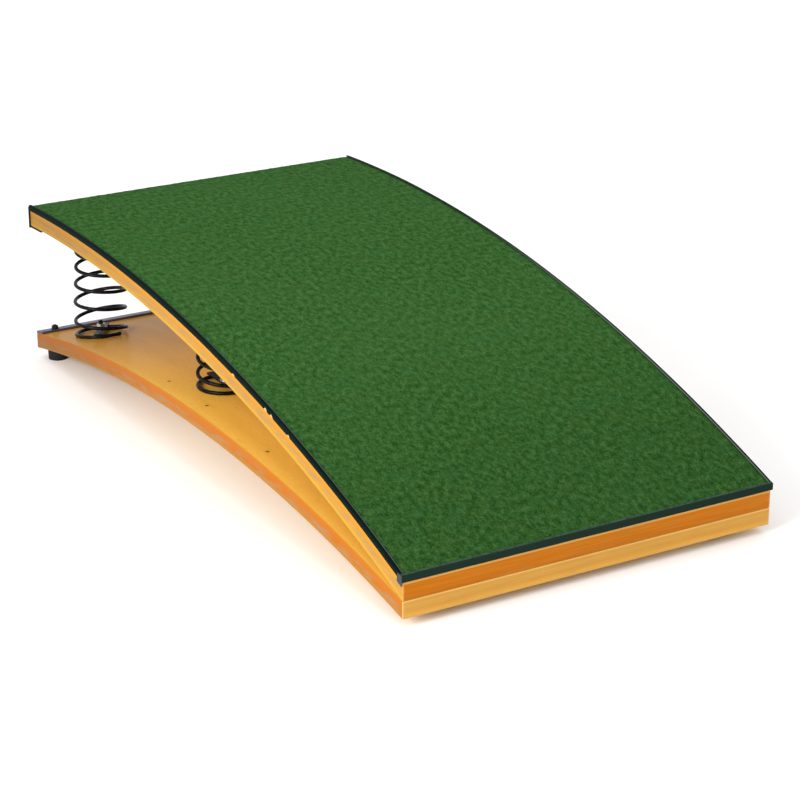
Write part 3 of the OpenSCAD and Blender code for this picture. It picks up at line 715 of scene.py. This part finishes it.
SPRING_ENAMEL = enamelled_wire("black spring enamel")
rear_row = base_box[1].y - REAR_ROW_SETBACK
front_row = rear_row - ROW_SPACING
rear_x, front_x = cad_high.x - REAR_SPRING_INSET, cad_high.x - FRONT_SPRING_INSET
rear_kind = (rear_row, REAR_TURNS, REAR_BIAS, REAR_STRAP_TURN)
front_kind = (front_row, FRONT_TURNS, 0.0, FRONT_STRAP_TURN)
springs = {
    "rear_left": (-rear_x, *rear_kind), "rear_middle": (0.0, *rear_kind),
    "rear_right": (rear_x, *rear_kind),
    "front_left": (-front_x, *front_kind), "front_right": (front_x, *front_kind)}
for place, values in springs.items():
    piece, lifts, (start, end) = coil_spring("coil_spring_" + place, *values)
    piece.data.materials.append(SPRING_ENAMEL)
    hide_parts("spring_" + place)
    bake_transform(piece)


# --- Clamps ---------------------------------------------------------------------------
# A strap of black steel lies across each end turn and a bolt through the board draws it
# down on the wire, with a bright washer and nut. Deck bolts are countersunk from above.
CLAMP_BOLT = 0.008
BOLT_STICKOUT = 0.023
STRAP_THICKNESS = 0.003

for end in ("lower_clamp_", "upper_clamp_"):
    for place in springs:
        soften(end + place, 0.0004, BLACK_STEEL)
meshes = {end + kind: bmesh.new() for end in ("lower_clamp_", "upper_clamp_")
          for kind in ("bolts", "washers", "nuts")}
for x, y, turns, bias, strap_turn in springs.values():
    for end, place, seat in (
            ("lower_clamp_", on_base(x, y), LOWER_SEAT),
            ("upper_clamp_", under_deck(x, spring_top(y)), UPPER_SEAT)):
        strap_top = seat + WIRE_DIAMETER + STRAP_THICKNESS + 2 * SEAT_GAP
        nut_seat = strap_top + WASHER_THICKNESS + SEAT_GAP
        round_washer(meshes[end + "washers"], place @ Matrix.Translation((0, 0, strap_top)),
                     CLAMP_BOLT)
        # Each nut was left at an angle of its own
        stopped = Matrix.Rotation(math.radians(17 + 40 * math.sin(9 * x + 5 * y)), 4, "Z")
        hex_nut(meshes[end + "nuts"], place @ Matrix.Translation((0, 0, nut_seat)) @ stopped,
                CLAMP_BOLT)
        if end == "lower_clamp_":
            mushroom_bolt(meshes[end + "bolts"], place, CLAMP_BOLT, -BASE_THICKNESS - SEAT_GAP,
                          BOLT_STICKOUT, strap_top)
        else:
            head = -DECK_THICKNESS + 2 * SEAT_GAP
            turned(meshes[end + "bolts"], place,
                   [(HEAD_WIDTH * CLAMP_BOLT / 2, head, 0.0),
                    (CLAMP_BOLT / 2, head + HEAD_HEIGHT * CLAMP_BOLT, 0.0)]
                   + threaded_end(CLAMP_BOLT, strap_top, BOLT_STICKOUT), THREAD_PITCH * CLAMP_BOLT)
for name, mesh in meshes.items():
    piece = finished_mesh(name + "_turned", mesh, 32)
    piece.data.materials.append(BLACK_STEEL if name.endswith("bolts") else ZINC_STEEL)
    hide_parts(name)
    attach(piece, "base" if name.startswith("lower") else "deck")


# --- Deck board -----------------------------------------------------------------------
# The upper board is pressed on the same former as the base board but is thicker. Its front
# face is stained deep orange under the varnish, and its top is hidden by the carpet.
DECK_PLIES = 11
# Chips out of the left edge strip, which took the varnish with them: the Y of each, half its
# length and how far up it reaches
CHIPS = [(-0.133, 0.0045, 0.0032), (-0.229, 0.0055, 0.0052), (-0.246, 0.0040, 0.0060),
         (-0.295, 0.0040, 0.0042)]

deck_board = bent_slab("deck_board_plywood", deck_centre, BEND_RADIUS, BEND_RADIUS + DECK_THICKNESS,
                       *deck_box)
cut_hinge_groove(deck_board)
weigh_normals(deck_board)
deck_board.data.materials.append(varnished_plywood(
    "deck board plywood", deck_centre, BEND_RADIUS, DECK_THICKNESS, DECK_PLIES, deck_box,
    # face: rear and front ramps; the paler front one is painted light, as on the base board
    face=([(0.0, (0.41, 0.195, 0.024)), (0.5, (0.46, 0.22, 0.029)), (1.0, (0.51, 0.25, 0.036))],
          [(0.0, (0.60, 0.29, 0.038)), (0.5, (0.66, 0.33, 0.046)), (1.0, (0.71, 0.38, 0.058))]),
    side=[(0.0, (0.54, 0.32, 0.046)), (0.10, (0.52, 0.28, 0.022)), (0.26, (0.51, 0.26, 0.018)),
          (0.40, (0.46, 0.24, 0.034)), (0.54, (0.48, 0.22, 0.022)), (0.62, (0.53, 0.225, 0.012)),
          (0.80, (0.55, 0.25, 0.012)), (0.85, (0.62, 0.37, 0.070))],
    front=[(0.0, (0.44, 0.12, 0.002)), (0.40, (0.48, 0.135, 0.003)), (0.74, (0.50, 0.145, 0.003)),
           (0.79, (0.70, 0.37, 0.10))],
    end_shade=(0.36, 0.12, 0.006), corner=(0.62, 0.30, 0.08), bared=CHIPS))
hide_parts("deck_board")
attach(deck_board, "deck")


# --- Carpet ---------------------------------------------------------------------------
# Green needle-punched carpet, glued all over the deck's top. The pile is a dense felt of
# short fibres, drawn up in small uneven tufts and pressed flat under the edge strips.
CARPET_THICKNESS = 0.005
GLUE_LINE = 0.0002
TUFT_SPACING = 0.0026
TUFT_HEIGHT = 0.0011
PRESSED_START, PRESSED_WIDTH, PRESSED_DEPTH = 0.003, 0.005, 0.0008
CLUMPS_PER_METRE, TUFTS_PER_METRE = 105, 390

carpet_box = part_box("carpet")
carpet_back = BEND_RADIUS + DECK_THICKNESS + GLUE_LINE
carpet_face = carpet_back + CARPET_THICKNESS


def laid_carpet(name):
    """A closed mat whose upper side is a grid of tufts"""
    low, high = carpet_box
    across = round((high.x - low.x) / TUFT_SPACING)
    along = round((high.y - low.y) / TUFT_SPACING)
    mesh = bmesh.new()

    def corner(i, j, lifted):
        x = low.x + (high.x - low.x) * i / across
        y = low.y + (high.y - low.y) * j / along
        if not lifted:
            return mesh.verts.new((x, y, arch_height(deck_centre, carpet_back, y)))
        clump = noise.noise(Vector((x * CLUMPS_PER_METRE, y * CLUMPS_PER_METRE, 0.0)))
        tuft = noise.noise(Vector((x * TUFTS_PER_METRE, y * TUFTS_PER_METRE, 7.0)))
        from_side = min(x - low.x, high.x - x, y - low.y)
        pressed = max(0.0, 1 - max(0.0, from_side - PRESSED_START) / PRESSED_WIDTH)
        drop = TUFT_HEIGHT * (0.5 - 0.28 * clump - 0.55 * tuft) + PRESSED_DEPTH * pressed ** 2
        return mesh.verts.new((x, y, arch_height(deck_centre, carpet_face - max(0, drop), y)))

    upper = [[corner(i, j, True) for i in range(across + 1)] for j in range(along + 1)]
    for row, following in zip(upper, upper[1:]):
        for i in range(across):
            mesh.faces.new((row[i], row[i + 1], following[i + 1], following[i]))
    lower = [[corner(i, j, False) for i in (0, across)] for j in range(along + 1)]
    for j in range(along):
        mesh.faces.new((lower[j][0], lower[j + 1][0], lower[j + 1][1], lower[j][1]))
        mesh.faces.new((lower[j][0], upper[j][0], upper[j + 1][0], lower[j + 1][0]))
        mesh.faces.new((lower[j + 1][1], upper[j + 1][-1], upper[j][-1], lower[j][1]))
    mesh.faces.new([lower[0][0], lower[0][1]] + upper[0][::-1])
    mesh.faces.new([lower[-1][1], lower[-1][0]] + upper[-1])
    return finished_mesh(name, mesh, 60)


def needled_pile(name):
    """Mottled green fibre in clumps and single fibres: pale tips, with painted shade in the gaps
    between them
    """
    material, tree, shader = finish_of(name, 0.95, specular=0.04)
    flat, drawn = stretched(tree, 1, 1, 0), stretched(tree, 1, 0.68, 0)
    clumps = mottle(tree, drawn, 130, 3, 0.6)
    tufts = mottle(tree, drawn, 420, 3, 0.65)
    fibres = mottle(tree, drawn, 1500, 2, 0.6)
    wash = mottle(tree, flat, 3.2, 2)
    casts = mottle(tree, flat, 26, 3, 0.6)
    # Where the tuft and fibre noise is low the bump sinks and the colour is painted dark, as shade
    # in the gaps; the clumps are the pile's own mottle
    together = maths(tree, "ADD", maths(tree, "MULTIPLY", clumps, 0.42),
                     maths(tree, "ADD", maths(tree, "MULTIPLY", tufts, 0.38),
                           maths(tree, "MULTIPLY", fibres, 0.20)))
    colour = shades(tree, together, [(0.40, (0.007, 0.040, 0.004)), (0.50, (0.026, 0.088, 0.016)),
                                     (0.60, (0.057, 0.142, 0.038))])
    colour = tint(tree, rising(tree, wash, 0.35, 0.7, 0, 0.15), colour, (0.040, 0.110, 0.028))
    # The dye takes a little yellower in some patches and bluer in others
    colour = tint(tree, rising(tree, casts, 0.52, 0.70, 0, 0.18), colour, (0.050, 0.092, 0.014))
    colour = tint(tree, rising(tree, casts, 0.30, 0.48, 0.22, 0), colour, (0.020, 0.100, 0.030))
    # The pile is made darker toward the front
    darker_toward_front = rising(tree, node(tree, "ShaderNodeSeparateXYZ", {0: flat}).outputs["Y"],
                     -0.60, -0.05, 0.80, 1)
    tree.links.new(tint(tree, 1.0, colour, darker_toward_front, "MULTIPLY"), shader.inputs["Base Color"])
    relief(tree, shader, (tufts, 0.0016), (fibres, 0.0005))
    return material


carpet = laid_carpet("carpet_pile")
carpet.data.materials.append(needled_pile("green needled pile"))
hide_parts("carpet")
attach(carpet, "deck")


# --- Edge strips ----------------------------------------------------------------------
# Dark green vinyl angle is glued round both sides and the front, one leg on the carpet and
# one down the board. It waves a little, the left one is chipped along its lower edge, and
# the front one is folded round the corner and left hanging.
STRIP_THICKNESS = 0.002
STRIP_DROP = 0.0085
STRIP_FLANGE = 0.003
STRIP_LIP = 0.0014
STRIP_WAVE, LIP_RIPPLE = 0.00035, 0.0002
HEEL_RADIUS = 0.0008
FOLD_LENGTH, FOLD_DROP, FOLD_THICKNESS = 0.010, 0.0125, 0.0008
SIDE_SPANS, FRONT_SPANS, FOLD_SPANS = 420, 160, 12
# Where the lip's painted highlight, with some rubbing, begins and is full: in from the side, and
# back from the front
SIDE_LIP, FRONT_LIP = (0.0030, 0.0038), (0.0008, 0.0020)


def angle_outline(outer, inner, edge, top, bottom):
    """Section of the angle in (sideways, radius): rounded heel, thin lip on the carpet"""
    sign = 1 if outer > inner else -1
    flange_under = carpet_face + GLUE_LINE
    heel = [(outer - sign * HEEL_RADIUS * (1 - math.cos(math.radians(a))),
             top - HEEL_RADIUS * (1 - math.sin(math.radians(a)))) for a in (0, 30, 60, 90)]
    return [(outer, bottom + 0.0005)] + heel + [
        (edge + sign * 0.0006, top), (edge + sign * 0.0001, top - 0.0004),
        (edge, flange_under), (inner, flange_under), (inner, bottom + 0.0005),
        (inner + sign * 0.0004, bottom), (outer - sign * 0.0004, bottom)]


def side_strip(name, side, chips):
    outer, inner = side * cad_high.x, side * (cad_high.x - STRIP_THICKNESS)
    edge = inner - side * STRIP_FLANGE
    low, high = carpet_box
    # The flange stops short of the front strip's, which lies across the corner
    front = low.y + STRIP_FLANGE + 0.0002
    stations = [low.y, front - 0.0001]
    stations += [front + (high.y - front) * i / SIDE_SPANS for i in range(SIDE_SPANS + 1)]
    mesh, rings = bmesh.new(), []
    for y in stations:
        bottom = carpet_face - STRIP_DROP
        bottom += STRIP_WAVE * (1 + noise.noise(Vector((y * 14, side * 3.0, 2.0))))
        for middle, half, reach in chips:
            torn = max(0.0, 1 - (abs(y - middle) / half) ** 4)
            bottom += reach * torn * (0.8 + 0.3 * noise.noise(Vector((y * 900, 5.0, 1.0))))
        ripple = 1 + noise.noise(Vector((y * 9, side * 2.0, 8.0)))
        top = carpet_face + STRIP_LIP - LIP_RIPPLE * ripple
        rings.append([mesh.verts.new((x, y, arch_height(deck_centre, radius, y)))
                      for x, radius in angle_outline(outer, inner, edge if y >= front
                                                     else inner - side * 0.0002, top, bottom)])
    skin_between(mesh, rings)
    return finished_mesh(name, mesh, 45)


def front_strip(name):
    """The front angle, its section turned to face forward"""
    low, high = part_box("edge_strip_front")
    outer, inner = cad_low.y, cad_low.y + STRIP_THICKNESS
    mesh, rings = bmesh.new(), []
    for i in range(FRONT_SPANS + 1):
        x = low.x + (high.x - low.x) * i / FRONT_SPANS
        bottom = carpet_face - STRIP_DROP + STRIP_WAVE * (
            1 + noise.noise(Vector((x * 14, 4.0, 6.0))))
        ripple = 1 + noise.noise(Vector((x * 9, 1.0, 3.0)))
        top = carpet_face + STRIP_LIP - LIP_RIPPLE * ripple
        rings.append([mesh.verts.new((x, y, arch_height(deck_centre, radius, y))) for y, radius
                      in angle_outline(outer, inner, inner + STRIP_FLANGE, top, bottom)])
    skin_between(mesh, rings)
    return finished_mesh(name, mesh, 45)


def folded_corner(name):
    """The left end of the front strip, slit, folded back along the side and left hanging"""
    outer, thick = cad_low.x, FOLD_THICKNESS
    mesh, rings = bmesh.new(), []
    for i in range(FOLD_SPANS + 1):
        along = i / FOLD_SPANS
        y = cad_low.y + FOLD_LENGTH * along
        flare = 0.0003 + 0.0012 * along ** 2
        top = carpet_face + STRIP_LIP - 0.0008 - 0.0012 * along ** 3
        bottom = carpet_face - FOLD_DROP + 0.0022 * along ** 4
        rings.append([mesh.verts.new((x, y, arch_height(deck_centre, radius, y))) for x, radius in (
            (outer - flare * 0.3, top), (outer - thick - flare * 0.3, top - 0.0002),
            (outer - thick - flare * 0.6, (top + bottom) / 2), (outer - thick - flare, bottom),
            (outer - flare, bottom), (outer - flare * 0.6, (top + bottom) / 2))])
    skin_between(mesh, rings)
    return finished_mesh(name, mesh, 50)


def vinyl(name, corner=False):
    """Dark green vinyl with a painted highlight, partly rubbing, along the lip; the front strip's
    copy is painted lighter as its reflection
    """
    material, tree, shader = finish_of(name, 0.55, specular=0.01)
    marks = placed(tree, USE_MARKS, Scuff_Scale=70, Soil_Scale=14)
    place = axes_of(tree)
    across = maths(tree, "ABSOLUTE", place["X"])
    # Painted highlight, with some rubbing: the lip is paler, most toward the front
    lip = maths(tree, "MULTIPLY",
                rising(tree, across, cad_high.x - SIDE_LIP[1], cad_high.x - SIDE_LIP[0], 1, 0),
                rising(tree, place["Y"], -0.20, 0.25, 1, 0.2))
    # On the front strip the paler colour covers the whole top flange, mottled: a painted reflection
    if corner:
        lip = maths(tree, "MULTIPLY",
                    rising(tree, place["Y"], cad_low.y + FRONT_LIP[0], cad_low.y + FRONT_LIP[1]),
                    rising(tree, mottle(tree, stretched(tree), 210, 3), 0.38, 0.56, 0.45, 1))
    grainy = mottle(tree, stretched(tree), 900, 2)
    colour = shades(tree, grainy, [(0.35, (0.0004, 0.0035, 0.0032)),
                                   (0.65, (0.0018, 0.009, 0.0075))])
    # The front strip is painted lighter all over: a lit copy of the same vinyl
    if corner:
        colour = tint(tree, 0.6, colour, (0.018, 0.036, 0.026))
    # Paler lip colour: painted highlight with some rubbing; on the front strip, painted reflection
    rubbed = (0.044, 0.078, 0.045) if corner else (0.085, 0.110, 0.085)
    colour = tint(tree, maths(tree, "MULTIPLY", lip, 0.85), colour, rubbed)
    colour = tint(tree, maths(tree, "MULTIPLY", marks["Soil"], 0.10), colour, (0.01, 0.03, 0.028))
    tree.links.new(colour, shader.inputs["Base Color"])
    tree.links.new(maths(tree, "MULTIPLY_ADD", marks["Scuffs"], 0.2, 0.48),
                   shader.inputs["Roughness"])
    relief(tree, shader, (grainy, 0.00010))
    return material


def fold_highlight_vinyl(name):
    """Matt grey-green vinyl for the folded end, painted paler all over as its highlight, with a
    fine web in its bump
    """
    material, tree, shader = finish_of(name, 0.6, specular=0.2)
    web = mottle(tree, stretched(tree), 1200, 3)
    tree.links.new(shades(tree, web, [(0.3, (0.016, 0.022, 0.024)), (0.7, (0.050, 0.060, 0.064))]),
                   shader.inputs["Base Color"])
    relief(tree, shader, (web, 0.0002))
    return material


VINYL = vinyl("dark green vinyl")
for side, name, chips in ((-1, "left", CHIPS), (1, "right", [])):
    strip = side_strip(f"edge_strip_{name}_angle", side, chips)
    strip.data.materials.append(VINYL)
    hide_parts("edge_strip_" + name)
    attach(strip, "deck")
strip = front_strip("edge_strip_front_angle")
# The front strip takes its own, lighter copy of the vinyl: painted reflection
strip.data.materials.append(vinyl("dark green vinyl, front", corner=True))
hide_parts("edge_strip_front")
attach(strip, "deck")
fold = folded_corner("edge_strip_front_fold")
# The folded end is painted pale grey-green as its highlight
fold.data.materials.append(fold_highlight_vinyl("vinyl fold, painted highlight"))
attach(fold, "deck")


# --- Rear guard -----------------------------------------------------------------------
# A black rubber angle covers the deck's rear edge and runs 40 mm under it, held there by
# five countersunk screws.
soften("rear_guard", 0.0007, moulded_rubber("guard rubber"))
soften("rear_guard_screws", 0.0002, ZINC_STEEL)


# --- Floor, light and camera ------------------------------------------------------------
# A plain pale floor, a broad soft key from the left, a fill from the right and a pale sky.
CAMERA_AZIMUTH, CAMERA_ELEVATION = math.radians(-30.61), math.radians(21.03)
CAMERA_DISTANCE = 3.852
CAMERA_TARGET = Vector((0.052, 0.0, 0.04985))
CAMERA_LENS, SENSOR_WIDTH = 112.577, 36

floor_mesh = bmesh.new()
bmesh.ops.create_grid(floor_mesh, x_segments=1, y_segments=1, size=30)
floor = finished_mesh("floor", floor_mesh)
floor_material, floor_tree, floor_shader = finish_of("pale floor", 0.9, specular=0.1)
speck = mottle(floor_tree, stretched(floor_tree), 3, 3)
floor_tree.links.new(
    shades(floor_tree, speck, [(0.3, (0.90, 0.90, 0.90)), (0.7, (0.92, 0.92, 0.92))]),
    floor_shader.inputs["Base Color"])
floor.data.materials.append(floor_material)

world = bpy.data.worlds.new("pale studio")
world.use_nodes = True
world.node_tree.nodes["Background"].inputs["Color"].default_value = (1, 1, 1, 1)
world.node_tree.nodes["Background"].inputs["Strength"].default_value = 1.0
bpy.context.scene.world = world


def soft_light(name, position, aim, size, power):
    lamp = bpy.data.lights.new(name, "AREA")
    lamp.shape, lamp.size, lamp.energy = "DISK", size, power
    made = bpy.data.objects.new(name, lamp)
    made.location = position
    made.rotation_euler = (Vector(aim) - Vector(position)).to_track_quat("-Z", "Y").to_euler()
    bpy.context.scene.collection.objects.link(made)


soft_light("key light", (-3.4, -1.2, 1.6), (0, 0, 0.1), 2.0, 135)
soft_light("fill light", (2.4, -3.6, 2.2), (0, 0, 0.1), 2.6, 8)
soft_light("top light", (0.2, 0.6, 3.6), (0, 0, 0.1), 3.0, 22)

back = Vector((math.sin(CAMERA_AZIMUTH) * math.cos(CAMERA_ELEVATION),
               -math.cos(CAMERA_AZIMUTH) * math.cos(CAMERA_ELEVATION),
               math.sin(CAMERA_ELEVATION)))
camera_data = bpy.data.cameras.new("camera")
camera_data.lens, camera_data.sensor_width = CAMERA_LENS, SENSOR_WIDTH
camera = bpy.data.objects.new("camera", camera_data)
camera.location = CAMERA_TARGET + CAMERA_DISTANCE * back
camera.rotation_euler = back.to_track_quat("Z", "Y").to_euler()
bpy.context.scene.collection.objects.link(camera)
bpy.context.scene.camera = camera
bpy.context.scene.view_settings.view_transform = "Standard"
